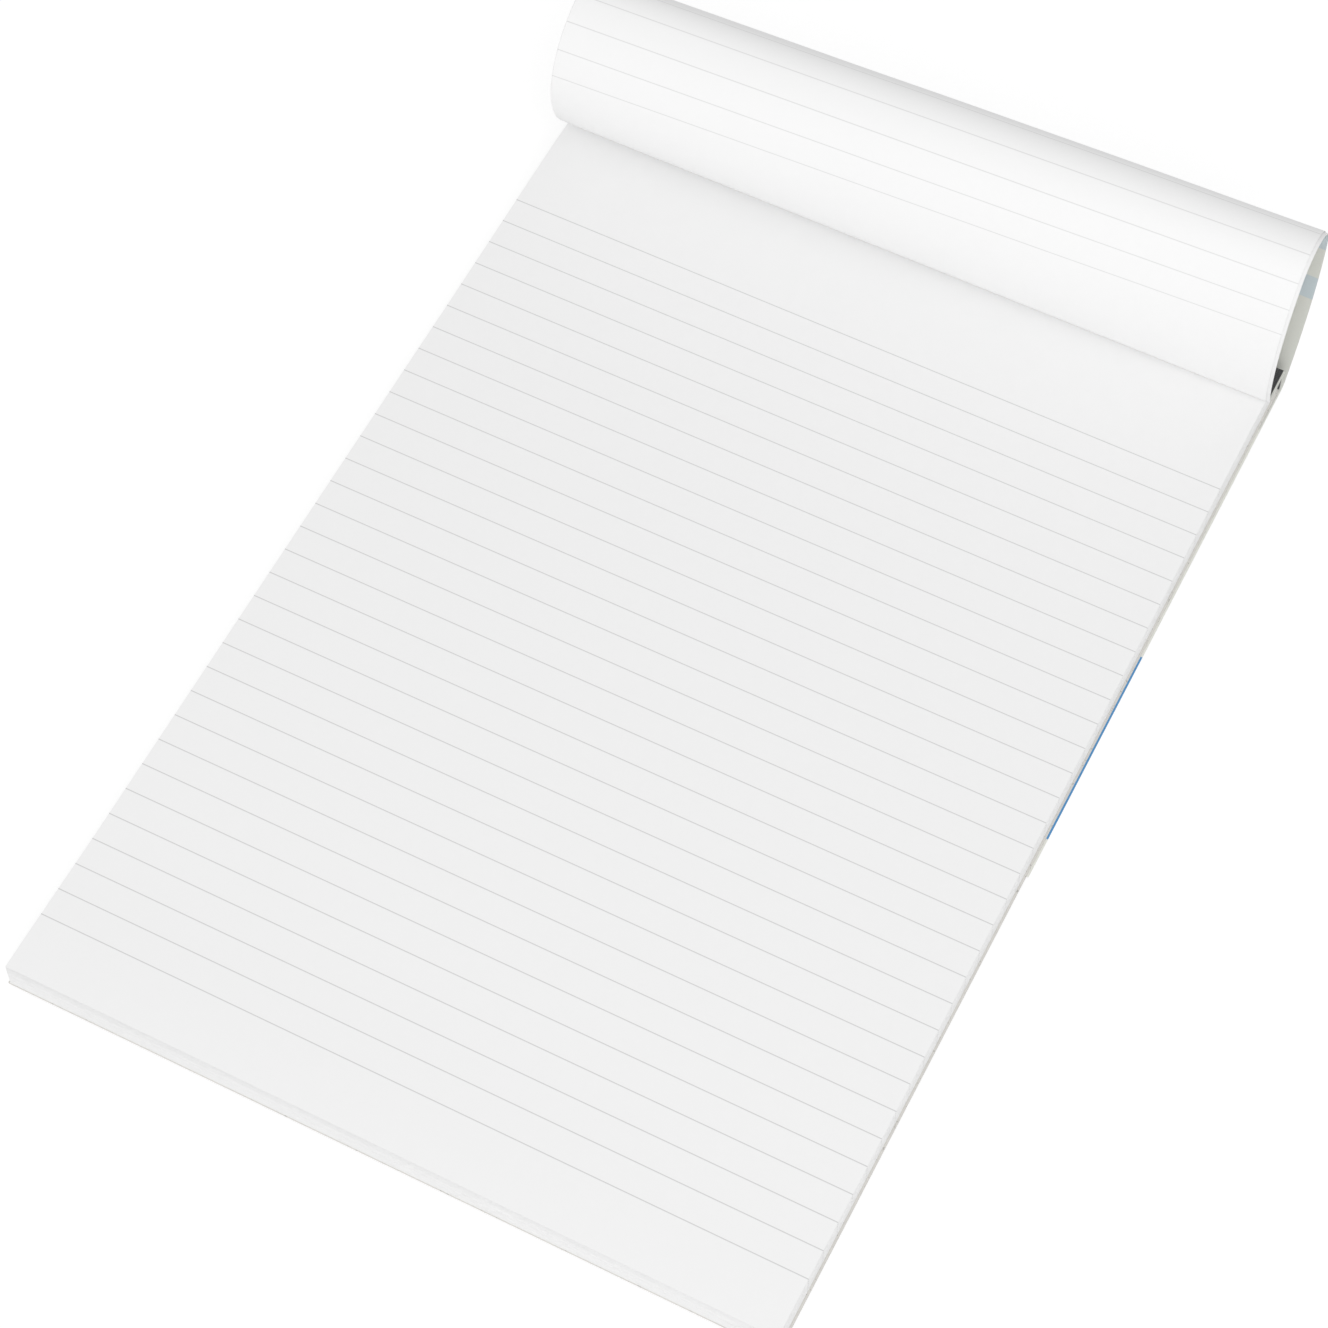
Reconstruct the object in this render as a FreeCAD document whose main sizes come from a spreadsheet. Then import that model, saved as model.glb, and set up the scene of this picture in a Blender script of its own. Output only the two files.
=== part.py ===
import FreeCAD, Part
import math
import os

import Sketcher

# Ruled A4 writing pad, bound along its head. The front cover and the first leaf are rolled over
# the head in one wide loop, tucked under the back board and left lying there.
#
# Modelling axes: X across the pad, Y from the near edge (0) to the head, Z up from the table (0).
# Seen from the near edge, the left end of the loop is low and slanted and the right end is upright.

# Driving dimensions in millimetres and degrees
SIZES = (
    ("leaf_width", 210, "width of the leaves"),
    ("leaf_length", 297, "leaf from its free edge to the perforation"),
    ("stub_depth", 10, "bound strip between the perforation and the head"),
    ("block_thickness", 8, "all the leaves that still lie flat"),
    ("board_thickness", 0.8, "grey back board"),
    ("board_overhang", 0.5, "board proud of the leaves on each side"),
    ("cover_thickness", 0.25, "front cover card"),
    ("cover_overhang", 0.6, "cover proud of the leaves on each side"),
    ("sheet_thickness", 0.15, "turned first leaf"),
    ("sheet_gap", 0.1, "air between the turned leaf and the cover"),
    ("tape_thickness", 0.25, "cloth tape round the head"),
    ("tape_return", 14, "tape under the board"),
    ("head_clearance", 0.5, "from the head face to where the tucked sheets leave the table"),
    ("loop_length", 130.6, "sheet in the loop, from the perforation to the table"),
    ("crease_radius", 1.5, "bend of the sheets at the perforation"),
    ("left_tuck_radius", 9, "left end, bend onto the table"),
    ("left_rise", 141, "left end, heading after the crease"),
    ("left_crest_start", 24, "left end, heading where the crest begins"),
    ("left_crest_end", -38, "left end, heading where the crest ends"),
    ("left_fall", -140, "left end, heading at the bend onto the table"),
    ("right_tuck_radius", 3, "right end, bend onto the table"),
    ("right_rise", 105, "right end, heading after the crease"),
    ("right_crest_start", 60, "right end, heading where the crest begins"),
    ("right_crest_end", -85.5, "right end, heading where the crest ends"),
    ("right_fall", -120, "right end, heading at the bend onto the table"),
    ("wire_thickness", 0.4, "flat wire of a staple, across its bends"),
    ("wire_width", 0.6, "flat wire of a staple, along the pad"),
    ("staple_crown", 12, "width of a staple"),
    ("staple_clinch", 4, "bent end of a staple"),
    ("staple_setback", 5, "from the head face to the staples"),
    ("staple_spread", 110, "between the two staples"),
)

# Heights of the layers, written for the sheet's expressions
BOARD_BASE = "(sizes.sheet_thickness + sizes.sheet_gap + sizes.cover_thickness)"
BLOCK_BASE = BOARD_BASE + " + sizes.board_thickness"
PAGE_TOP = BLOCK_BASE + " + sizes.block_thickness"
STUB_TOP = PAGE_TOP + " + " + BOARD_BASE
PAD_LENGTH = "(sizes.leaf_length + sizes.stub_depth)"
BOARD_WIDTH = "(sizes.leaf_width + 2 * sizes.board_overhang)"
STAPLE_PLACE = "(" + PAD_LENGTH + " - sizes.staple_setback)"

MITRED_CORNER = "Right corner"

# A sheet's surface is made of narrow strips that turn by no more than this
STRIP_TURN = math.radians(8)


def write_sizes(doc):
    """Fill the sheet with the driving dimensions."""
    sheet = doc.addObject("Spreadsheet::Sheet", "sizes")
    for row, (alias, value, meaning) in enumerate(SIZES, start=1):
        sheet.set("A%d" % row, meaning)
        sheet.set("B%d" % row, str(value))
        sheet.setAlias("B%d" % row, alias)
    doc.recompute()
    return sheet


def origin_plane(body, role):
    """One of the three origin planes of a body."""
    for feature in body.Origin.OriginFeatures:
        if feature.Role == role:
            return feature
    raise ValueError(role)


def add_sketch(body, name, role, lift):
    """A sketch on an origin plane, moved along the plane's normal by an expression."""
    sketch = body.newObject("Sketcher::SketchObject", name)
    sketch.AttachmentSupport = [(origin_plane(body, role), "")]
    sketch.MapMode = "FlatFace"
    sketch.setExpression("AttachmentOffset.Base.z", lift)
    return sketch


def value_of(sheet, expression):
    """The number that an expression of the sheet gives now."""
    return sheet.evalExpression(expression.replace("sizes.", ""))


def draw_line_run(sheet, sketch, corners, closed):
    """Straight lines from corner to corner, each corner placed by two expressions."""
    places = [FreeCAD.Vector(value_of(sheet, x), value_of(sheet, y), 0) for x, y in corners]
    count = len(corners) if closed else len(corners) - 1
    for index in range(count):
        line = Part.LineSegment(places[index], places[(index + 1) % len(places)])
        sketch.addGeometry(line, False)
    for index in range(count if closed else count - 1):
        following = (index + 1) % count
        sketch.addConstraint(Sketcher.Constraint("Coincident", index, 2, following, 1))
    for index, (x, y) in enumerate(corners):
        line = min(index, count - 1)
        end = 1 if index < count else 2
        for kind, expression, place in (("DistanceX", x, places[index].x), ("DistanceY", y, places[index].y)):
            number = sketch.addConstraint(Sketcher.Constraint(kind, -1, 1, line, end, place))
            sketch.setExpression("Constraints[%d]" % number, expression)


def rectangle(width, near, far):
    """Corners of a rectangle centred on X = 0."""
    left = "-" + width + " / 2"
    right = width + " / 2"
    return ((left, near), (right, near), (right, far), (left, far))


def pad_sketch(body, name, sketch, thickness):
    """Extrude a sketch by an expression."""
    feature = body.newObject("PartDesign::Pad", name)
    feature.Profile = sketch
    feature.setExpression("Length", thickness)
    return feature


def make_back_board(doc, sheet):
    """Grey board with the tape pressed flush into its underside at the head."""
    body = doc.addObject("PartDesign::Body", "back_board_blank")
    outline = add_sketch(body, "board_outline", "XY_Plane", BOARD_BASE)
    draw_line_run(sheet, outline, rectangle(BOARD_WIDTH, "0", PAD_LENGTH), True)
    pad_sketch(body, "board_plate", outline, "sizes.board_thickness")
    doc.recompute()
    seat = add_sketch(body, "board_tape_seat_outline", "XY_Plane", BOARD_BASE)
    seat_start = PAD_LENGTH + " - sizes.tape_return"
    draw_line_run(sheet, seat, rectangle(BOARD_WIDTH, seat_start, PAD_LENGTH), True)
    pocket = body.newObject("PartDesign::Pocket", "board_tape_seat")
    pocket.Profile = seat
    pocket.Reversed = True
    pocket.setExpression("Length", "sizes.tape_thickness")
    return body


def make_page_block(doc, sheet):
    """The flat leaves with their bound stubs, as one block of paper."""
    body = doc.addObject("PartDesign::Body", "page_block_blank")
    outline = add_sketch(body, "page_outline", "XY_Plane", BLOCK_BASE)
    draw_line_run(sheet, outline, rectangle("sizes.leaf_width", "0", PAD_LENGTH), True)
    pad_sketch(body, "page_stack", outline, "sizes.block_thickness")
    return body


def make_binding_tape(doc, sheet):
    """Cloth tape over the stubs, down the head face and under the board."""
    body = doc.addObject("PartDesign::Body", "binding_tape")
    section = add_sketch(body, "tape_section", "YZ_Plane", "-" + BOARD_WIDTH + " / 2")
    outer_head = PAD_LENGTH + " + sizes.tape_thickness"
    outer_top = STUB_TOP + " + sizes.tape_thickness"
    seat_top = BOARD_BASE + " + sizes.tape_thickness"
    return_end = PAD_LENGTH + " - sizes.tape_return"
    corners = (
        ("sizes.leaf_length", STUB_TOP),
        (PAD_LENGTH, STUB_TOP),
        (PAD_LENGTH, seat_top),
        (return_end, seat_top),
        (return_end, BOARD_BASE),
        (outer_head, BOARD_BASE),
        (outer_head, outer_top),
        ("sizes.leaf_length", outer_top),
    )
    draw_line_run(sheet, section, corners, True)
    pad_sketch(body, "tape_strip", section, BOARD_WIDTH)
    return body


def make_staple(doc, sheet, name, side):
    """Flat wire staple through the stubs, its crown under the tape and its ends clinched in the board."""
    body = doc.addObject("PartDesign::Body", name)
    middle = side + "sizes.staple_spread / 2"
    left = middle + " - sizes.staple_crown / 2"
    right = middle + " + sizes.staple_crown / 2"
    crown_height = STUB_TOP + " - sizes.wire_thickness / 2"
    clinch_base = BOARD_BASE + " + sizes.tape_thickness"
    clinch_height = clinch_base + " + sizes.wire_thickness / 2"
    path = add_sketch(body, name + "_path", "XZ_Plane", "-" + STAPLE_PLACE)
    corners = (
        (left + " + sizes.staple_clinch", clinch_height),
        (left, clinch_height),
        (left, crown_height),
        (right, crown_height),
        (right, clinch_height),
        (right + " - sizes.staple_clinch", clinch_height),
    )
    draw_line_run(sheet, path, corners, False)
    section = add_sketch(body, name + "_section", "YZ_Plane", left + " + sizes.staple_clinch")
    near = STAPLE_PLACE + " - sizes.wire_width / 2"
    far = STAPLE_PLACE + " + sizes.wire_width / 2"
    top = clinch_base + " + sizes.wire_thickness"
    draw_line_run(sheet, section, ((near, clinch_base), (far, clinch_base), (far, top), (near, top)), True)
    doc.recompute()
    pipe = body.newObject("PartDesign::AdditivePipe", name + "_wire")
    pipe.Profile = section
    pipe.Spine = path
    pipe.Transition = MITRED_CORNER
    return body


def unit_arc(start, end):
    """Travel in Y, travel in Z and length of a clockwise arc of radius 1 between two headings."""
    return FreeCAD.Vector(math.sin(start) - math.sin(end), math.cos(end) - math.cos(start), start - end)


def loop_bends(sheet, side):
    """Headings where the five arcs of one end of the loop meet, and the arcs' radii.

    The crease and the bend onto the table have set radii. The three long arcs between them get the
    radii that end the loop at the foot of the head face after exactly the loop's length of sheet.
    """
    names = ("rise", "crest_start", "crest_end", "fall")
    headings = [math.pi]
    headings += [math.radians(sheet.get(side + "_" + name)) for name in names]
    headings.append(-math.pi)
    arcs = [unit_arc(start, end) for start, end in zip(headings, headings[1:])]
    crease_radius = sheet.crease_radius
    tuck_radius = sheet.get(side + "_tuck_radius")
    run_back = sheet.stub_depth + sheet.head_clearance
    drop = value_of(sheet, PAGE_TOP)
    span = FreeCAD.Vector(run_back, -drop, sheet.loop_length)
    rest = span - arcs[0] * crease_radius - arcs[4] * tuck_radius
    rise, crest, fall = arcs[1:4]
    volume = rise.dot(crest.cross(fall))
    rise_radius = rest.dot(crest.cross(fall)) / volume
    crest_radius = rise.dot(rest.cross(fall)) / volume
    fall_radius = rise.dot(crest.cross(rest)) / volume
    radii = (crease_radius, rise_radius, crest_radius, fall_radius, tuck_radius)
    if min(radii) <= 0:
        raise ValueError("the %s end of the loop does not close" % side)
    return headings, radii


def radius_at(headings, radii, heading):
    """Radius of the arc that turns through a heading."""
    for end, radius in zip(headings[1:], radii):
        if heading > end:
            return radius
    return radii[-1]


def strip_stops(headings):
    """The headings, with more between them wherever a bend is wider than one strip."""
    stops = [headings[0]]
    for start, end in zip(headings, headings[1:]):
        strips = math.ceil((start - end) / STRIP_TURN)
        stops += [start + (end - start) * strip / strips for strip in range(1, strips)]
        stops.append(end)
    return stops


def sheet_edges(sheet, across, bends, stops, offset):
    """Edges of one face of a turned sheet at one end, offset outward from the leaf's inner face."""

    def place(y, z):
        return FreeCAD.Vector(across, y, z)

    stub_height = value_of(sheet, PAGE_TOP) + sheet.sheet_thickness
    head = sheet.leaf_length + sheet.stub_depth
    y = sheet.leaf_length
    z = stub_height
    edges = [Part.LineSegment(place(head, z - offset), place(y, z - offset))]
    for start, end in zip(stops, stops[1:]):
        radius = radius_at(*bends, (start + end) / 2)
        centre_y = y + radius * math.sin(start)
        centre_z = z - radius * math.cos(start)
        reach = radius + offset
        headings = (start, (start + end) / 2, end)
        points = [place(centre_y - reach * math.sin(a), centre_z + reach * math.cos(a)) for a in headings]
        edges.append(Part.Arc(*points))
        y = centre_y - radius * math.sin(end)
        z = centre_z + radius * math.cos(end)
    tucked = sheet.leaf_length - sheet.loop_length
    edges.append(Part.LineSegment(place(y, z - offset), place(y - tucked, z - offset)))
    return [edge.toShape() for edge in edges]


def sheet_section(sheet, across, bends, stops, inner, outer):
    """Closed outline of a turned sheet at one end."""
    outer_edges = sheet_edges(sheet, across, bends, stops, outer)
    inner_edges = sheet_edges(sheet, across, bends, stops, inner)
    first_cap = Part.makeLine(inner_edges[0].firstVertex().Point, outer_edges[0].firstVertex().Point)
    last_cap = Part.makeLine(outer_edges[-1].lastVertex().Point, inner_edges[-1].lastVertex().Point)
    return Part.Wire(Part.__sortEdges__(outer_edges + [last_cap] + inner_edges + [first_cap]))


def turned_sheet(doc, sheet, name, width, inner, outer):
    """A sheet rolled over the head, ruled between its two end outlines.

    Paper bends in one direction at a time. The arcs of both ends are cut at the same headings, so
    each line of the ruling joins two points where the ends run parallel, as on a real curved sheet.
    """
    left_bends = loop_bends(sheet, "left")
    right_bends = loop_bends(sheet, "right")
    stops = strip_stops(sorted(set(left_bends[0] + right_bends[0]), reverse=True))
    left = sheet_section(sheet, -width / 2, left_bends, stops, inner, outer)
    right = sheet_section(sheet, width / 2, right_bends, stops, inner, outer)
    feature = doc.addObject("Part::Feature", name)
    feature.Shape = Part.makeLoft([left, right], True, True)
    return feature


def with_staple_holes(doc, name, blank, staples):
    """A layer with the room that the staples take in it."""
    layer = doc.addObject("Part::Cut", name)
    layer.Base = blank
    layer.Tool = staples
    return layer


def check_document(doc, nodes):
    """Stop if an object failed or a sub-part has no sound shape."""
    for item in doc.Objects:
        if "Invalid" in item.State or "Error" in item.State:
            raise RuntimeError("failed object: " + item.Name)
    for node in nodes:
        if node.Shape.isNull() or not node.Shape.isValid() or len(node.Shape.Solids) != 1:
            raise RuntimeError("bad shape: " + node.Label)


def main():
    doc = FreeCAD.newDocument("ruled_pad")
    sheet = write_sizes(doc)
    board = make_back_board(doc, sheet)
    block = make_page_block(doc, sheet)
    tape = make_binding_tape(doc, sheet)
    staple_left = make_staple(doc, sheet, "staple_left", "-")
    staple_right = make_staple(doc, sheet, "staple_right", "")
    staples = doc.addObject("Part::MultiFuse", "staples")
    staples.Shapes = [staple_left, staple_right]
    leaf = turned_sheet(doc, sheet, "turned_leaf_blank", sheet.leaf_width, 0, sheet.sheet_thickness)
    cover_width = sheet.leaf_width + 2 * sheet.cover_overhang
    cover_face = -sheet.sheet_gap
    cover_back = cover_face - sheet.cover_thickness
    cover = turned_sheet(doc, sheet, "front_cover_blank", cover_width, cover_back, cover_face)
    layers = (
        ("back_board", board),
        ("page_block", block),
        ("turned_leaf", leaf),
        ("front_cover", cover),
    )
    nodes = [with_staple_holes(doc, name, blank, staples) for name, blank in layers]
    nodes += [tape, staple_left, staple_right]
    doc.recompute()

    # The origin is the middle of the whole part's footprint, on the table
    reach = max(node.Shape.optimalBoundingBox(False, False).YMax for node in nodes)
    for part in (board, block, tape, staple_left, staple_right, cover, leaf):
        part.Placement = FreeCAD.Placement(FreeCAD.Vector(0, -reach / 2, 0), FreeCAD.Rotation())
    doc.recompute()
    check_document(doc, nodes)

    os.makedirs("parts", exist_ok=True)
    for node in nodes:
        node.Shape.exportStep(os.path.join("parts", node.Label + ".step"))
        box = node.Shape.optimalBoundingBox(False, False)
        print("%-12s volume %9.1f  y %.2f..%.2f  z %.2f..%.2f"
              % (node.Label, node.Shape.Volume, box.YMin, box.YMax, box.ZMin, box.ZMax))
    for side in ("left", "right"):
        print(side, "radii", [round(radius, 2) for radius in loop_bends(sheet, side)[1]])


main()
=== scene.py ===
import math
import random

import bpy
from mathutils import Matrix, Vector, noise


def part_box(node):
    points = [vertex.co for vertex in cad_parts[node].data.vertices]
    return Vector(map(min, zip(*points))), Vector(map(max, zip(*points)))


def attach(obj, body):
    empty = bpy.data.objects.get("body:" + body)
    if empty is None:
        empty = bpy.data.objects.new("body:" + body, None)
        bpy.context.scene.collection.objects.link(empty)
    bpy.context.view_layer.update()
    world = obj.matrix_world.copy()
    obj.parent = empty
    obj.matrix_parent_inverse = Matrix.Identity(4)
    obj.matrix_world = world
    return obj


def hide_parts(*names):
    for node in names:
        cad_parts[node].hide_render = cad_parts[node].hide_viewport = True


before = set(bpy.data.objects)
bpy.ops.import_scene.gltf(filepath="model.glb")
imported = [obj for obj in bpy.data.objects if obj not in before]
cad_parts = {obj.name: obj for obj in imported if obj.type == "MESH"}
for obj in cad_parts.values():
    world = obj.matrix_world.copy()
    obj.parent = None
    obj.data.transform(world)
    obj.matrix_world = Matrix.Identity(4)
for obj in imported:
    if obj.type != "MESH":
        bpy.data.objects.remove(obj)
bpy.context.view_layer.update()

bl_info = {
    "name": "Ruled Pad",
    "version": (1, 0, 0),
    "blender": (4, 5, 0),
    "location": "3D Viewport > Sidebar > Ruled Pad",
    "description": "An A4 ruled pad with its cover and first leaf rolled over the head",
    "category": "Add Mesh",
}

MM = 0.001

# Boxes of the CAD pad's pieces
BLOCK_LOW, BLOCK_HIGH = (Vector(corner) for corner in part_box("page_block"))
BOARD_LOW, BOARD_HIGH = (Vector(corner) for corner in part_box("back_board"))
LEAF_LOW, LEAF_HIGH = (Vector(corner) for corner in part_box("turned_leaf"))
COVER_LOW, COVER_HIGH = (Vector(corner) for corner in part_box("front_cover"))
TAPE_LOW, TAPE_HIGH = (Vector(corner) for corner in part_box("binding_tape"))

# A4 leaf, bound by a stub behind its perforation
LEAF_LENGTH = 297 * MM
PERFORATION = BLOCK_LOW.y + LEAF_LENGTH
HEAD = BLOCK_HIGH.y

# Cloth tape round the head, with rounded folds
TAPE_RETURN = 14 * MM
TAPE_THICKNESS = 0.25 * MM
TAPE_FOLD = 0.24 * MM
TAPE_FOLD_SEGMENTS = 4

# The turned sheets, with the sizes of their loop as in the part
LEAF_THICKNESS = 0.15 * MM
SHEET_GAP = 0.1 * MM
COVER_THICKNESS = 0.25 * MM
COVER_ASIDE = 0.4 * MM
LOOP_LENGTH = 130.6 * MM
CREASE_RADIUS = 1.5 * MM
HEAD_CLEARANCE = 0.5 * MM
TUCK_RADIUS = {"left": 9 * MM, "right": 3 * MM}
BEND_HEADINGS = {"left": (141, 24, -38, -140), "right": (105, 60, -85.5, -120)}
STRIP_TURN = math.radians(4)
TUCKED_ROWS = 12
SHEET_COLUMNS = 36

# Waves of the loop: their spans across and along the sheet, and a slice of the noise for each
WIDE_WAVE = (90 * MM, 45 * MM)
WIDE_WAVE_SLICE = 3.1
FINE_WAVE = (35 * MM, 22 * MM)
FINE_WAVE_SLICE = 7.7
FINE_WAVE_SHARE = 0.4
WAVE_FADE_POWER = 0.7

# The upper leaves bulge towards the head, most at the left, and curl up at the near edge, and both
# die away downwards through the block
BULGE_PEAK = PERFORATION - 9 * MM
BULGE_START = BULGE_PEAK - 70 * MM
BULGE_HEIGHT = {"left": 0.6 * MM, "right": 0.2 * MM}
NEAR_CURL = {"left": 1.0 * MM, "right": 0.4 * MM}
NEAR_CURL_REACH = 45 * MM
LIFT_FADE_POWER = 6

# Leaves of the block
LEAF_COLUMNS = 10
LEAF_ROWS = 64
LEAF_AIR = 0.02 * MM
SCATTER_SEED = 4

# Faces that meet at less than this angle are shaded as one surface
SMOOTH_ANGLE = math.radians(40)

# Print on the cover's inner side: start and end from the perforation, and its colour
COVER_PRINT = (
    (72 * MM, 80 * MM, "card_stripe"),
    (92 * MM, 100 * MM, "card_stripe"),
    (225 * MM, 285 * MM, "card_field"),
)

# Strength of the ruling on the rolled leaf, where the block's is 1
ROLLED_INK = 0.65

# Slits of the tear-off line, drawn as painted shade seen through the cuts
SLIT_PITCH = 2 * MM
SLIT_LENGTH = 1.2 * MM
SLIT_WIDTH = 0.16 * MM

# Sockets of a mix node that blends colours
MIX_SHARE, MIX_FROM, MIX_TO, MIX_RESULT = 0, 6, 7, 2

# Soft edges of printed lines, of the ends of the ruling and printed fields, and of the slits' ends
LINE_BLUR = 0.03 * MM
FIELD_BLUR = 0.1 * MM
SLIT_BLUR = 0.05 * MM

# Grain of the materials, with the cut edge's streaks drawn out along the leaves; the streaks are
# painted shade between the leaves as well as relief
PAPER_FLOCK = 0.5 * MM
PAPER_CLOUD = 4 * MM
EDGE_STREAK = 0.25 * MM
STREAK_SQUEEZE = (0.02, 0.02, 1.0)
BOARD_PULP = 2.5 * MM
BOARD_FLECK = 0.7 * MM
FLECK_START = 0.64
FLECK_FULL = 0.7
CLOTH_THREAD = 0.6 * MM
WIRE_MARK = 0.15 * MM

# Depth of the relief of the materials
PAPER_RELIEF = 0.012 * MM
EDGE_RELIEF = 0.03 * MM
PRINT_RELIEF = 0.004 * MM
BOARD_RELIEF = 0.04 * MM
CLOTH_RELIEF = 0.08 * MM
WIRE_RELIEF = 0.004 * MM

# Viewpoint of the photograph
CAMERA_PLACE = Vector((224.4, -458.5, 846.8)) * MM
CAMERA_AIM = Vector((-1.06, -12.27, 9.3)) * MM
CAMERA_LENS = 103.33
CAMERA_SENSOR = 36
CAMERA_NEAR = 0.01
CAMERA_ROLL = math.radians(0.22)

# Light of the photograph, in metres and watts: one soft lamp in white surroundings
KEY_PLACE = (0.86, -1.59, 1.63)
KEY_SIZE = 1.5
KEY_POWER = 23
AMBIENT_LIGHT = 0.72
BACKDROP_LIGHT = 1.0

# The table, its top a little under the pad, and how it looks to the camera
TABLE_SIZE = 12
TABLE_TOP = -0.05 * MM
TABLE_GREY = 0.3
TABLE_GLOW = 0.76


class PadSizes(bpy.types.PropertyGroup):
    """Sizes that a user would change."""

    line_pitch: bpy.props.FloatProperty(
        name="Line pitch", description="From one ruled line to the next",
        default=8 * MM, unit="LENGTH", precision=5)
    header: bpy.props.FloatProperty(
        name="Header", description="From the perforation to the first ruled line",
        default=32.5 * MM, unit="LENGTH", precision=5)
    line_width: bpy.props.FloatProperty(
        name="Line width", description="Width of a printed line",
        default=0.28 * MM, unit="LENGTH", precision=5)
    line_count: bpy.props.IntProperty(
        name="Lines", description="Ruled lines on a leaf", default=32)
    leaf_count: bpy.props.IntProperty(
        name="Leaves", description="Leaves drawn in the block, each standing for two real ones",
        default=40)
    leaf_scatter: bpy.props.FloatProperty(
        name="Leaf scatter", description="How far one trimmed edge strays from the next",
        default=0.07 * MM, unit="LENGTH", precision=5)
    sheet_wave: bpy.props.FloatProperty(
        name="Sheet wave", description="How far the rolled sheets stray from a true curve",
        default=0.25 * MM, unit="LENGTH", precision=5)


class PadColours(bpy.types.PropertyGroup):
    """Colours that a user would change, as sRGB hex values."""

    paper: bpy.props.StringProperty(
        name="Paper", description="White uncoated writing paper", default="#f4f4f4")
    rule: bpy.props.StringProperty(
        name="Rule", description="Pale grey ruling ink", default="#d2d2d2")
    card: bpy.props.StringProperty(
        name="Card", description="Ground of the cover's printed side", default="#e6e7e0")
    card_stripe: bpy.props.StringProperty(
        name="Card stripe", description="Pale blue stripes across the cover", default="#d2dde2")
    card_field: bpy.props.StringProperty(
        name="Card field", description="Blue field near the cover's free end", default="#4f93ca")
    board: bpy.props.StringProperty(
        name="Board", description="Pale grey board", default="#dedcd7")
    tape: bpy.props.StringProperty(
        name="Tape", description="Charcoal binding cloth", default="#4a4b4d")
    wire: bpy.props.StringProperty(
        name="Wire", description="Bright steel staple wire", default="#c3c5c8")
    floor: bpy.props.StringProperty(
        name="Floor", description="Plain pale table", default="#f2f2f2")


# Colours and nodes

def linear(hex_colour, darker=0.0):
    """An sRGB hex value as linear red, green, blue and alpha, brought down by a share of itself."""
    channels = [int(hex_colour[start:start + 2], 16) / 255 for start in (1, 3, 5)]
    bright = [c / 12.92 if c <= 0.04045 else ((c + 0.055) / 1.055) ** 2.4 for c in channels]
    return tuple(channel * (1 - darker) for channel in bright) + (1.0,)


def add_node(tree, kind, inputs, output=0, **settings):
    """Add a node with its settings, link or set its inputs, and return one of its outputs."""
    node = tree.nodes.new(kind)
    for name, value in settings.items():
        setattr(node, name, value)
    for socket, value in inputs.items():
        if isinstance(value, bpy.types.NodeSocket):
            tree.links.new(value, node.inputs[socket])
        else:
            node.inputs[socket].default_value = value
    return node.outputs[output] if node.outputs else None


def new_material(name):
    """An empty material with its node tree and the Object coordinates that its grain follows."""
    material = bpy.data.materials.new(name)
    material.use_nodes = True
    tree = material.node_tree
    tree.nodes.clear()
    return material, tree, add_node(tree, "ShaderNodeTexCoord", {}, "Object")


def finish_material(tree, colour, height, depth, **constants):
    """Close a material: base colour, a relief of the given depth in metres and constant inputs."""
    normal = add_node(tree, "ShaderNodeBump",
                      {"Strength": 1.0, "Distance": depth, "Height": height})
    inputs = {name.replace("_", " "): value for name, value in constants.items()}
    shader = add_node(tree, "ShaderNodeBsdfPrincipled",
                      {"Base Color": colour, "Normal": normal, **inputs})
    add_node(tree, "ShaderNodeOutputMaterial", {"Surface": shader})


def field_between(tree, place, low, high, blur):
    """1 between two places along a coordinate and 0 outside, blurred at both ends."""
    middle = (low + high) / 2
    half = (high - low) / 2
    aside = add_node(tree, "ShaderNodeMath", {0: place, 1: middle}, operation="SUBTRACT")
    aside = add_node(tree, "ShaderNodeMath", {0: aside}, operation="ABSOLUTE")
    return add_node(tree, "ShaderNodeMapRange",
                    {"Value": aside, "From Min": half - blur, "From Max": half + blur,
                     "To Min": 1.0, "To Max": 0.0})


def repeated(tree, place, first, pitch):
    """A coordinate that starts again at every pitch: the place relative to the nearest repeat."""
    from_first = add_node(tree, "ShaderNodeMath", {0: place, 1: first}, operation="SUBTRACT")
    return add_node(tree, "ShaderNodeMath", {0: from_first, 1: pitch / 2, 2: -pitch / 2},
                    operation="WRAP")


# Materials

def ruled_lines(tree, along, sizes):
    """Where ruling ink lies, from the distance to the perforation."""
    place = repeated(tree, along, sizes.header, sizes.line_pitch)
    ink = field_between(tree, place, -sizes.line_width / 2, sizes.line_width / 2, LINE_BLUR)
    last_line = sizes.header + (sizes.line_count - 1) * sizes.line_pitch
    half_pitch = sizes.line_pitch / 2
    ruled = field_between(tree, along, sizes.header - half_pitch, last_line + half_pitch,
                          FIELD_BLUR)
    return add_node(tree, "ShaderNodeMath", {0: ink, 1: ruled}, operation="MULTIPLY")


def perforation(tree, along, across):
    """Where the slits of the tear-off line are, as a mask for the painted shade seen through them.
    """
    slit_place = repeated(tree, across, 0.0, SLIT_PITCH)
    slit = field_between(tree, slit_place, -SLIT_LENGTH / 2, SLIT_LENGTH / 2, SLIT_BLUR)
    row = field_between(tree, along, -SLIT_WIDTH / 2, SLIT_WIDTH / 2, LINE_BLUR)
    return add_node(tree, "ShaderNodeMath", {0: slit, 1: row}, operation="MULTIPLY")


def paper_tooth(tree, place):
    """Felted fibre of paper and card: the height of its flocks, and a wider cloudiness alone."""
    flocks = add_node(tree, "ShaderNodeTexNoise",
                      {"Vector": place, "Scale": 1 / PAPER_FLOCK, "Detail": 3.0})
    cloud = add_node(tree, "ShaderNodeTexNoise",
                     {"Vector": place, "Scale": 1 / PAPER_CLOUD, "Detail": 2.0})
    height = add_node(tree, "ShaderNodeMath", {0: cloud, 1: 0.5, 2: flocks},
                      operation="MULTIPLY_ADD")
    return height, cloud


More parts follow.
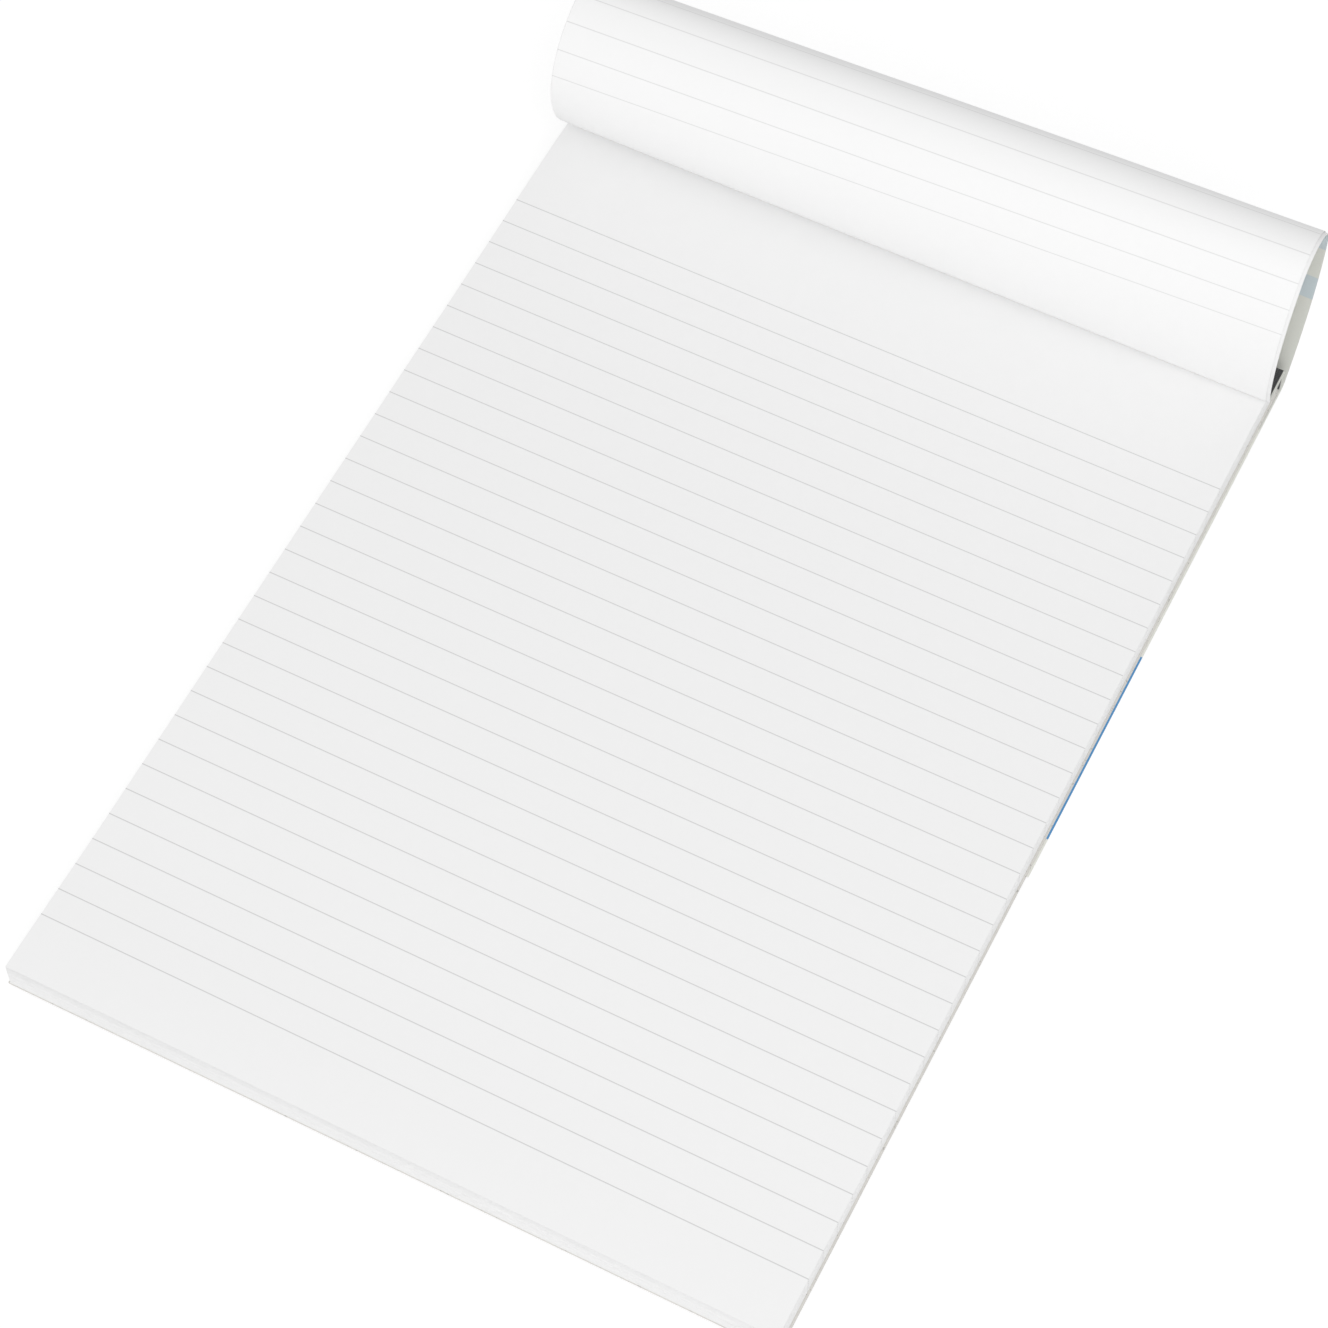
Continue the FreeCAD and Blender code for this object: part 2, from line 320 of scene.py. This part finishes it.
def writing_paper(name, colours, sizes, rolled):
    """Uncoated woodfree paper, ruled edge to edge: matt, white and faintly cloudy.

    On a rolled sheet the lines follow the sheet's own map and print a little fainter, as on the
    back of a leaf. On the block they follow its length.
    """
    material, tree, place = new_material(name)
    if rolled:
        flat_place = add_node(tree, "ShaderNodeUVMap", {}, uv_map="sheet")
        across = add_node(tree, "ShaderNodeSeparateXYZ", {"Vector": flat_place}, "X")
        along = add_node(tree, "ShaderNodeSeparateXYZ", {"Vector": flat_place}, "Y")
    else:
        across = add_node(tree, "ShaderNodeSeparateXYZ", {"Vector": place}, "X")
        y = add_node(tree, "ShaderNodeSeparateXYZ", {"Vector": place}, "Y")
        along = add_node(tree, "ShaderNodeMath", {0: PERFORATION, 1: y}, operation="SUBTRACT")
    strength = ROLLED_INK if rolled else 1.0
    ink = add_node(tree, "ShaderNodeMath", {0: ruled_lines(tree, along, sizes), 1: strength},
                   operation="MULTIPLY")
    height, cloud = paper_tooth(tree, place)
    ground = add_node(tree, "ShaderNodeMix",
                      {MIX_SHARE: cloud, MIX_FROM: linear(colours.paper, darker=0.012),
                       MIX_TO: linear(colours.paper)},
                      MIX_RESULT, data_type="RGBA")
    ruled = add_node(tree, "ShaderNodeMix",
                     {MIX_SHARE: ink, MIX_FROM: ground, MIX_TO: linear(colours.rule)},
                     MIX_RESULT, data_type="RGBA")
    # Painted shade: the slits are darkened to stand for the shade seen through the cut paper
    slit_shade = perforation(tree, along, across)
    paper_with_slit_shade = add_node(tree, "ShaderNodeMix",
                       {MIX_SHARE: slit_shade, MIX_FROM: ruled,
                        MIX_TO: linear(colours.paper, darker=0.35)},
                       MIX_RESULT, data_type="RGBA")
    finish_material(tree, paper_with_slit_shade, height, PAPER_RELIEF, Roughness=0.85, IOR=1.45)
    return material


def cut_paper(name, colours):
    """Guillotined edge of paper: white, with fine darker streaks along the leaves, painted shade
    between the leaves that also gives the relief.
    """
    material, tree, place = new_material(name)
    drawn_out = add_node(tree, "ShaderNodeMapping", {"Vector": place, "Scale": STREAK_SQUEEZE})
    streak_shade_and_relief = add_node(tree, "ShaderNodeTexNoise",
                      {"Vector": drawn_out, "Scale": 1 / EDGE_STREAK, "Detail": 4.0})
    # Painted shade: the streaks darken the edge where shade lies between the leaves
    colour = add_node(tree, "ShaderNodeMix",
                      {MIX_SHARE: streak_shade_and_relief, MIX_FROM: linear(colours.paper, darker=0.12),
                       MIX_TO: linear(colours.paper)},
                      MIX_RESULT, data_type="RGBA")
    finish_material(tree, colour, streak_shade_and_relief, EDGE_RELIEF, Roughness=0.9, IOR=1.45)
    return material


def printed_card(name, colours):
    """Coated side of the cover: a grey-green ground, two pale blue stripes and one blue field."""
    material, tree, place = new_material(name)
    flat_place = add_node(tree, "ShaderNodeUVMap", {}, uv_map="sheet")
    along = add_node(tree, "ShaderNodeSeparateXYZ", {"Vector": flat_place}, "Y")
    colour = linear(colours.card)
    for low, high, ink in COVER_PRINT:
        where = field_between(tree, along, low, high, FIELD_BLUR)
        colour = add_node(tree, "ShaderNodeMix",
                          {MIX_SHARE: where, MIX_FROM: colour,
                           MIX_TO: linear(getattr(colours, ink))},
                          MIX_RESULT, data_type="RGBA")
    height, _ = paper_tooth(tree, place)
    finish_material(tree, colour, height, PRINT_RELIEF, Roughness=0.5)
    return material


def plain_card(name, colours):
    """Uncoated back and cut edge of the cover card: off-white, with a faint tooth."""
    material, tree, place = new_material(name)
    height, cloud = paper_tooth(tree, place)
    colour = add_node(tree, "ShaderNodeMix",
                      {MIX_SHARE: cloud, MIX_FROM: linear(colours.paper, darker=0.08),
                       MIX_TO: linear(colours.paper, darker=0.02)},
                      MIX_RESULT, data_type="RGBA")
    finish_material(tree, colour, height, PAPER_RELIEF, Roughness=0.85)
    return material


def grey_board(name, colours):
    """Recycled board: pulpy pale grey with small darker flecks and a soft, matt surface."""
    material, tree, place = new_material(name)
    pulp = add_node(tree, "ShaderNodeTexNoise",
                    {"Vector": place, "Scale": 1 / BOARD_PULP, "Detail": 5.0})
    fleck = add_node(tree, "ShaderNodeTexNoise",
                     {"Vector": place, "Scale": 1 / BOARD_FLECK, "Detail": 2.0})
    flecks = add_node(tree, "ShaderNodeMapRange",
                      {"Value": fleck, "From Min": FLECK_START, "From Max": FLECK_FULL})
    ground = add_node(tree, "ShaderNodeMix",
                      {MIX_SHARE: pulp, MIX_FROM: linear(colours.board, darker=0.12),
                       MIX_TO: linear(colours.board)},
                      MIX_RESULT, data_type="RGBA")
    colour = add_node(tree, "ShaderNodeMix",
                      {MIX_SHARE: flecks, MIX_FROM: ground,
                       MIX_TO: linear(colours.board, darker=0.45)},
                      MIX_RESULT, data_type="RGBA")
    finish_material(tree, colour, pulp, BOARD_RELIEF, Roughness=0.95)
    return material


def binding_cloth(name, colours):
    """Woven book cloth, dyed charcoal: its threads lie wider than real ones, so that they show."""
    material, tree, place = new_material(name)
    x = add_node(tree, "ShaderNodeSeparateXYZ", {"Vector": place}, "X")
    y = add_node(tree, "ShaderNodeSeparateXYZ", {"Vector": place}, "Y")
    z = add_node(tree, "ShaderNodeSeparateXYZ", {"Vector": place}, "Z")
    round_head = add_node(tree, "ShaderNodeMath", {0: y, 1: z}, operation="SUBTRACT")
    unrolled = add_node(tree, "ShaderNodeCombineXYZ", {"X": x, "Y": round_head})
    # A wave texture of scale 1 repeats every tenth of pi
    scale = math.pi / 10 / CLOTH_THREAD
    threads = {"Vector": unrolled, "Scale": scale, "Distortion": 0.6}
    warp = add_node(tree, "ShaderNodeTexWave", threads, "Fac", bands_direction="X")
    weft = add_node(tree, "ShaderNodeTexWave", threads, "Fac", bands_direction="Y")
    weave = add_node(tree, "ShaderNodeMath", {0: warp, 1: weft}, operation="MULTIPLY")
    colour = add_node(tree, "ShaderNodeMix",
                      {MIX_SHARE: weave, MIX_FROM: linear(colours.tape, darker=0.35),
                       MIX_TO: linear(colours.tape)},
                      MIX_RESULT, data_type="RGBA")
    finish_material(tree, colour, weave, CLOTH_RELIEF, Roughness=0.8, Sheen_Weight=0.3)
    return material


def staple_steel(name, colours):
    """Drawn and flattened steel wire: bright, with lengthwise drawing marks."""
    material, tree, place = new_material(name)
    marks = add_node(tree, "ShaderNodeTexNoise",
                     {"Vector": place, "Scale": 1 / WIRE_MARK, "Detail": 4.0})
    colour = add_node(tree, "ShaderNodeMix",
                      {MIX_SHARE: marks, MIX_FROM: linear(colours.wire, darker=0.1),
                       MIX_TO: linear(colours.wire)},
                      MIX_RESULT, data_type="RGBA")
    finish_material(tree, colour, marks, WIRE_RELIEF, Roughness=0.3, Metallic=1.0)
    return material


# Modelling helpers

def start_piece():
    """Go to object mode and deselect all, so that the next operator acts on its own piece."""
    if bpy.context.mode != "OBJECT":
        bpy.ops.object.mode_set(mode="OBJECT")
    bpy.ops.object.select_all(action="DESELECT")


def take_new_piece(name):
    """Name the piece that was just added or joined, and return it."""
    piece = bpy.context.object
    piece.name = name
    piece.data.name = name
    return piece


def pick(piece):
    """Select one piece alone and make it the active one."""
    start_piece()
    piece.select_set(True)
    bpy.context.view_layer.objects.active = piece


def settle(piece):
    """Move a piece's place, turn and scale into its mesh."""
    pick(piece)
    bpy.ops.object.transform_apply(location=True, rotation=True, scale=True)


def apply_modifiers(piece):
    """Apply every modifier in order."""
    bpy.context.view_layer.objects.active = piece
    for modifier in list(piece.modifiers):
        bpy.ops.object.modifier_apply(modifier=modifier.name)


def shade_smooth(piece):
    """Smooth shading that keeps the piece's sharp edges."""
    pick(piece)
    bpy.ops.object.shade_smooth_by_angle(angle=SMOOTH_ANGLE)


def seat(piece, node):
    """Let the piece ride on the pad and stand for its CAD node."""
    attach(piece, "root")
    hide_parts(node)


def dress_node(name, material):
    """Give a CAD node that stays in view its material."""
    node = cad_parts[name]
    node.data.materials.clear()
    node.data.materials.append(material)


# The rolled sheets

def unit_arc(start, end):
    """Travel in Y, travel in Z and length of a clockwise arc of radius 1 between two headings."""
    return Vector((math.sin(start) - math.sin(end), math.cos(end) - math.cos(start), start - end))


def loop_bends(side):
    """Headings where the five arcs of one end of the loop meet, and the arcs' radii."""
    headings = [math.pi] + [math.radians(angle) for angle in BEND_HEADINGS[side]] + [-math.pi]
    arcs = [unit_arc(start, end) for start, end in zip(headings, headings[1:])]
    run_back = HEAD - PERFORATION + HEAD_CLEARANCE
    span = Vector((run_back, -BLOCK_HIGH.z, LOOP_LENGTH))
    rest = span - arcs[0] * CREASE_RADIUS - arcs[4] * TUCK_RADIUS[side]
    long_radii = Matrix(arcs[1:4]).transposed().inverted() @ rest
    return headings, (CREASE_RADIUS, *long_radii, TUCK_RADIUS[side])


def radius_at(bends, heading):
    """Radius of the arc that turns through a heading."""
    headings, radii = bends
    return next((radius for end, radius in zip(headings[1:], radii) if heading > end), radii[-1])


def sheet_stations(side, stops):
    """Place in Y and Z, distance from the perforation and heading at each row of a sheet.

    The rows run from the head edge of the stub to the perforation, round the loop and then along
    the table under the board.
    """
    bends = loop_bends(side)
    y = PERFORATION
    z = BLOCK_HIGH.z + LEAF_THICKNESS
    travelled = 0.0
    rows = [(HEAD, z, PERFORATION - HEAD, math.pi), (y, z, travelled, math.pi)]
    for start, end in zip(stops, stops[1:]):
        radius = radius_at(bends, (start + end) / 2)
        step = unit_arc(start, end) * radius
        y += step.x
        z += step.y
        travelled += step.z
        rows.append((y, z, travelled, end))
    tucked = LEAF_LENGTH - LOOP_LENGTH
    for row in range(1, TUCKED_ROWS + 1):
        share = row / TUCKED_ROWS
        rows.append((y - tucked * share, z, travelled + tucked * share, -math.pi))
    return rows


def sheet_stops():
    """Headings of the loop's rows, the same for both of its ends."""
    corners = sorted(set(loop_bends("left")[0] + loop_bends("right")[0]), reverse=True)
    stops = [corners[0]]
    for start, end in zip(corners, corners[1:]):
        strips = math.ceil((start - end) / STRIP_TURN)
        stops += [start + (end - start) * strip / strips for strip in range(1, strips + 1)]
    return stops


def free_wave(across, travelled):
    """How far a rolled sheet strays outward from its true curve, as a share of the wave."""
    if not 0 < travelled < LOOP_LENGTH:
        return 0.0
    fade = math.sin(math.pi * travelled / LOOP_LENGTH) ** WAVE_FADE_POWER
    wide_place = (across / WIDE_WAVE[0], travelled / WIDE_WAVE[1], WIDE_WAVE_SLICE)
    fine_place = (across / FINE_WAVE[0], travelled / FINE_WAVE[1], FINE_WAVE_SLICE)
    wide = noise.noise(Vector(wide_place))
    fine = noise.noise(Vector(fine_place))
    return fade * (wide + FINE_WAVE_SHARE * fine)


def roll_sheet(name, width, offset, wave, aside=0.0):
    """A grid rolled over the head, its rows the straight rulings between the two ends.

    The offset moves the sheet outward and aside moves it to the right. Each point keeps its place
    on the flat sheet in the map called sheet, in metres from the middle and from the perforation.
    """
    stops = sheet_stops()
    left = sheet_stations("left", stops)
    right = sheet_stations("right", stops)
    rows = len(left) - 1
    start_piece()
    bpy.ops.mesh.primitive_grid_add(x_subdivisions=SHEET_COLUMNS, y_subdivisions=rows, size=1)
    sheet = take_new_piece(name)
    flat_places = []
    for vertex in sheet.data.vertices:
        share = vertex.co.x + 0.5
        row = round((vertex.co.y + 0.5) * rows)
        left_y, left_z, left_travel, heading = left[row]
        right_y, right_z, right_travel, _ = right[row]
        across = (share - 0.5) * width + aside
        travelled = left_travel + (right_travel - left_travel) * share
        out = offset + wave * free_wave(across, travelled)
        y = left_y + (right_y - left_y) * share - out * math.sin(heading)
        z = left_z + (right_z - left_z) * share + out * math.cos(heading)
        vertex.co = (across, y, z)
        flat_places.append((across, travelled))
    sheet_map = sheet.data.uv_layers[0]
    sheet_map.name = "sheet"
    for corner in sheet.data.loops:
        sheet_map.data[corner.index].uv = flat_places[corner.vertex_index]
    return sheet


def thicken(sheet, thickness, outward, materials):
    """Give a sheet its thickness and materials for its own side, the new side and the rim."""
    for material in materials:
        sheet.data.materials.append(material)
    solidify = sheet.modifiers.new("thickness", "SOLIDIFY")
    solidify.thickness = thickness
    solidify.offset = 1.0 if outward else -1.0
    solidify.use_even_offset = True
    solidify.material_offset = 1
    solidify.material_offset_rim = 2
    apply_modifiers(sheet)
    shade_smooth(sheet)


class PAD_OT_turned_leaf(bpy.types.Operator):
    """Add the first leaf, rolled over the head and tucked under the board"""

    bl_idname = "pad.turned_leaf"
    bl_label = "Turned leaf"

    def execute(self, context):
        sizes = context.scene.pad_sizes
        colours = context.scene.pad_colours
        width = LEAF_HIGH.x - LEAF_LOW.x
        sheet = roll_sheet("turned_leaf_sheet", width, 0.0, sizes.sheet_wave)
        ruled = writing_paper("ruled_paper_rolled", colours, sizes, rolled=True)
        edge = cut_paper("leaf_edge", colours)
        thicken(sheet, LEAF_THICKNESS, outward=True, materials=(ruled, ruled, edge))
        seat(sheet, "turned_leaf")
        return {"FINISHED"}


class PAD_OT_front_cover(bpy.types.Operator):
    """Add the cover card, rolled inside the first leaf with its printed side inward"""

    bl_idname = "pad.front_cover"
    bl_label = "Front cover"

    def execute(self, context):
        wave = context.scene.pad_sizes.sheet_wave
        colours = context.scene.pad_colours
        width = COVER_HIGH.x - COVER_LOW.x
        card = roll_sheet("front_cover_card", width, -SHEET_GAP, wave, COVER_ASIDE)
        plain = plain_card("cover_card_back", colours)
        printed = printed_card("cover_card_printed", colours)
        thicken(card, COVER_THICKNESS, outward=False, materials=(plain, printed, plain))
        seat(card, "front_cover")
        return {"FINISHED"}


def slope_up(share):
    """A smooth rise from 0 to 1 as the share goes from 0 to 1, level beyond."""
    share = min(max(share, 0.0), 1.0)
    return (1 - math.cos(math.pi * share)) / 2


def top_leaf_lift(x, y):
    """How far the top leaf lies above a flat block."""
    across = (x - BLOCK_LOW.x) / (BLOCK_HIGH.x - BLOCK_LOW.x)
    bulge = BULGE_HEIGHT["left"] + (BULGE_HEIGHT["right"] - BULGE_HEIGHT["left"]) * across
    curl = NEAR_CURL["left"] + (NEAR_CURL["right"] - NEAR_CURL["left"]) * slope_up(across)
    if y < BULGE_PEAK:
        rise = slope_up((y - BULGE_START) / (BULGE_PEAK - BULGE_START))
    else:
        rise = slope_up((PERFORATION - y) / (PERFORATION - BULGE_PEAK))
    near = slope_up((BLOCK_LOW.y + NEAR_CURL_REACH - y) / NEAR_CURL_REACH)
    return bulge * rise + curl * near


class PAD_OT_page_block(bpy.types.Operator):
    """Add the leaves of the block, the upper ones bulging a little towards the head"""

    bl_idname = "pad.page_block"
    bl_label = "Page block"

    def execute(self, context):
        sizes = context.scene.pad_sizes
        colours = context.scene.pad_colours
        size = BLOCK_HIGH - BLOCK_LOW
        middle = (BLOCK_HIGH + BLOCK_LOW) / 2
        pitch = size.z / sizes.leaf_count
        stray = random.Random(SCATTER_SEED)
        start_piece()
        bpy.ops.mesh.primitive_grid_add(
            x_subdivisions=LEAF_COLUMNS, y_subdivisions=LEAF_ROWS, size=1)
        flat = [vertex.co.copy() for vertex in bpy.context.object.data.vertices]
        leaves = [bpy.context.object]
        while len(leaves) < sizes.leaf_count:
            bpy.ops.object.duplicate()
            leaves.append(bpy.context.object)
        for index, leaf in enumerate(leaves):
            leaf_x = middle.x + stray.uniform(-1, 1) * sizes.leaf_scatter
            leaf_y = middle.y + stray.uniform(-1, 1) * sizes.leaf_scatter
            height = BLOCK_LOW.z + (index + 1) * pitch
            share = ((index + 1) / sizes.leaf_count) ** LIFT_FADE_POWER
            for vertex, place in zip(leaf.data.vertices, flat):
                x = leaf_x + place.x * (size.x - 2 * sizes.leaf_scatter)
                y = leaf_y + place.y * (size.y - 2 * sizes.leaf_scatter)
                vertex.co = (x, y, height + share * top_leaf_lift(x, y))
        for leaf in leaves:
            leaf.select_set(True)
        bpy.context.view_layer.objects.active = leaves[0]
        bpy.ops.object.join()
        block = take_new_piece("page_leaves")
        ruled = writing_paper("ruled_paper_flat", colours, sizes, rolled=False)
        edge = cut_paper("block_edge", colours)
        thicken(block, pitch - LEAF_AIR, outward=False, materials=(ruled, ruled, edge))
        seat(block, "page_block")
        return {"FINISHED"}


class PAD_OT_head_tape(bpy.types.Operator):
    """Add the binding cloth over the stubs, down the head face and under the board"""

    bl_idname = "pad.head_tape"
    bl_label = "Head tape"

    def execute(self, context):
        depth = TAPE_HIGH.y - PERFORATION
        start_piece()
        bpy.ops.mesh.primitive_plane_add(
            size=1, location=(0, PERFORATION + depth / 2, TAPE_HIGH.z))
        tape = take_new_piece("head_tape")
        tape.scale = (TAPE_HIGH.x - TAPE_LOW.x, depth, 1)
        settle(tape)

        # Select the strip's head edge, and fold it down and then under the board
        bpy.ops.object.mode_set(mode="EDIT")
        bpy.ops.mesh.select_mode(type="VERT")
        bpy.ops.mesh.select_all(action="DESELECT")
        bpy.ops.object.mode_set(mode="OBJECT")
        for vertex in tape.data.vertices:
            vertex.select = vertex.co.y > TAPE_HIGH.y - depth / 2
        bpy.ops.object.mode_set(mode="EDIT")
        bpy.ops.mesh.select_mode(type="EDGE")
        down = (0, 0, BOARD_LOW.z - TAPE_HIGH.z)
        under = (0, BOARD_HIGH.y - TAPE_RETURN - TAPE_HIGH.y, 0)
        for step in (down, under):
            bpy.ops.mesh.extrude_region_move(TRANSFORM_OT_translate={"value": step})

        # All normals outward, so that the thickness goes inward
        bpy.ops.mesh.select_all(action="SELECT")
        bpy.ops.mesh.normals_make_consistent(inside=False)
        bpy.ops.object.mode_set(mode="OBJECT")
        top = max(tape.data.polygons, key=lambda face: face.center.z)
        if top.normal.z < 0:
            bpy.ops.object.mode_set(mode="EDIT")
            bpy.ops.mesh.flip_normals()
            bpy.ops.object.mode_set(mode="OBJECT")

        corners = tape.modifiers.new("folded corners", "BEVEL")
        corners.width = TAPE_FOLD
        corners.segments = TAPE_FOLD_SEGMENTS
        walls = tape.modifiers.new("cloth", "SOLIDIFY")
        walls.thickness = TAPE_THICKNESS
        walls.offset = -1.0
        walls.use_even_offset = True
        apply_modifiers(tape)
        shade_smooth(tape)
        tape.data.materials.append(binding_cloth("binding_cloth", context.scene.pad_colours))
        seat(tape, "binding_tape")
        return {"FINISHED"}


class PAD_OT_back_board(bpy.types.Operator):
    """Give the back board its grey pulp finish"""

    bl_idname = "pad.back_board"
    bl_label = "Back board"

    def execute(self, context):
        dress_node("back_board", grey_board("grey_board", context.scene.pad_colours))
        return {"FINISHED"}


class PAD_OT_staples(bpy.types.Operator):
    """Give both staples their steel"""

    bl_idname = "pad.staples"
    bl_label = "Staples"

    def execute(self, context):
        steel = staple_steel("staple_steel", context.scene.pad_colours)
        for name in ("staple_left", "staple_right"):
            dress_node(name, steel)
        return {"FINISHED"}


# Stage

def table_material(colours):
    """Plain pale table that lights the pad as paint does.

    To the camera, and in reflections, it is a dim grey with a glow: nearly white, with only a faint
    shadow of the pad.
    """
    material, tree, _ = new_material("table")
    painted = add_node(tree, "ShaderNodeBsdfDiffuse", {"Color": linear(colours.floor)})
    faint = add_node(tree, "ShaderNodeBsdfDiffuse",
                     {"Color": (TABLE_GREY, TABLE_GREY, TABLE_GREY, 1.0)})
    glow = add_node(tree, "ShaderNodeEmission", {"Strength": TABLE_GLOW})
    bright = add_node(tree, "ShaderNodeAddShader", {0: faint, 1: glow})
    seen = add_node(tree, "ShaderNodeLightPath", {}, "Is Camera Ray")
    for ray in ("Is Glossy Ray", "Is Transmission Ray"):
        other = add_node(tree, "ShaderNodeLightPath", {}, ray)
        seen = add_node(tree, "ShaderNodeMath", {0: seen, 1: other}, operation="MAXIMUM")
    surface = add_node(tree, "ShaderNodeMixShader", {0: seen, 1: painted, 2: bright})
    add_node(tree, "ShaderNodeOutputMaterial", {"Surface": surface})
    return material


def soft_lamp(name, place, size, power):
    """A large square lamp that faces the pad."""
    lamp = bpy.data.lights.new(name, "AREA")
    lamp.shape = "SQUARE"
    lamp.size = size
    lamp.energy = power
    holder = bpy.data.objects.new(name, lamp)
    holder.location = place
    holder.rotation_euler = (-Vector(place)).to_track_quat("-Z", "Y").to_euler()
    bpy.context.scene.collection.objects.link(holder)


class PAD_OT_stage(bpy.types.Operator):
    """Add the table, the white surroundings, the lamp and the camera"""

    bl_idname = "pad.stage"
    bl_label = "Stage"

    def execute(self, context):
        scene = context.scene
        start_piece()
        bpy.ops.mesh.primitive_plane_add(size=TABLE_SIZE, location=(0, 0, TABLE_TOP))
        table = take_new_piece("table")
        settle(table)
        table.data.materials.append(table_material(scene.pad_colours))

        world = bpy.data.worlds.new("studio")
        world.use_nodes = True
        scene.world = world
        tree = world.node_tree
        tree.nodes.clear()
        white = (1, 1, 1, 1)
        seen = add_node(tree, "ShaderNodeLightPath", {}, "Is Camera Ray")
        around = add_node(tree, "ShaderNodeBackground",
                          {"Color": white, "Strength": AMBIENT_LIGHT})
        behind = add_node(tree, "ShaderNodeBackground",
                          {"Color": white, "Strength": BACKDROP_LIGHT})
        sky = add_node(tree, "ShaderNodeMixShader", {0: seen, 1: around, 2: behind})
        add_node(tree, "ShaderNodeOutputWorld", {"Surface": sky})

        soft_lamp("key_lamp", KEY_PLACE, KEY_SIZE, KEY_POWER)

        camera = bpy.data.objects.new("camera", bpy.data.cameras.new("camera"))
        camera.location = CAMERA_PLACE
        turn = (CAMERA_AIM - CAMERA_PLACE).to_track_quat("-Z", "Y").to_matrix()
        camera.rotation_euler = (turn @ Matrix.Rotation(CAMERA_ROLL, 3, "Z")).to_euler()
        camera.data.lens = CAMERA_LENS
        camera.data.sensor_width = CAMERA_SENSOR
        camera.data.sensor_fit = "HORIZONTAL"
        camera.data.clip_start = CAMERA_NEAR
        scene.collection.objects.link(camera)
        scene.camera = camera
        scene.view_settings.view_transform = "Standard"
        return {"FINISHED"}


class PAD_PT_panel(bpy.types.Panel):
    """Sidebar panel with the pad's sizes, colours and pieces"""

    bl_idname = "PAD_PT_panel"
    bl_label = "Ruled Pad"
    bl_space_type = "VIEW_3D"
    bl_region_type = "UI"
    bl_category = "Ruled Pad"

    def draw(self, context):
        for group in (context.scene.pad_sizes, context.scene.pad_colours):
            column = self.layout.column()
            for name in group.__annotations__:
                column.prop(group, name)
        for operator in OPERATORS:
            self.layout.operator(operator.bl_idname)


OPERATORS = (
    PAD_OT_page_block,
    PAD_OT_turned_leaf,
    PAD_OT_front_cover,
    PAD_OT_head_tape,
    PAD_OT_back_board,
    PAD_OT_staples,
    PAD_OT_stage,
)
CLASSES = (PadSizes, PadColours, *OPERATORS, PAD_PT_panel)


def register():
    """Register the classes, and hang the settings on the scene."""
    for item in CLASSES:
        bpy.utils.register_class(item)
    bpy.types.Scene.pad_sizes = bpy.props.PointerProperty(type=PadSizes)
    bpy.types.Scene.pad_colours = bpy.props.PointerProperty(type=PadColours)


def unregister():
    """Undo register."""
    del bpy.types.Scene.pad_colours
    del bpy.types.Scene.pad_sizes
    for item in reversed(CLASSES):
        bpy.utils.unregister_class(item)


def main():
    """Build every piece and the stage."""
    register()
    bpy.ops.pad.page_block()
    bpy.ops.pad.turned_leaf()
    bpy.ops.pad.front_cover()
    bpy.ops.pad.head_tape()
    bpy.ops.pad.back_board()
    bpy.ops.pad.staples()
    bpy.ops.pad.stage()


if __name__ == "__main__":
    main()
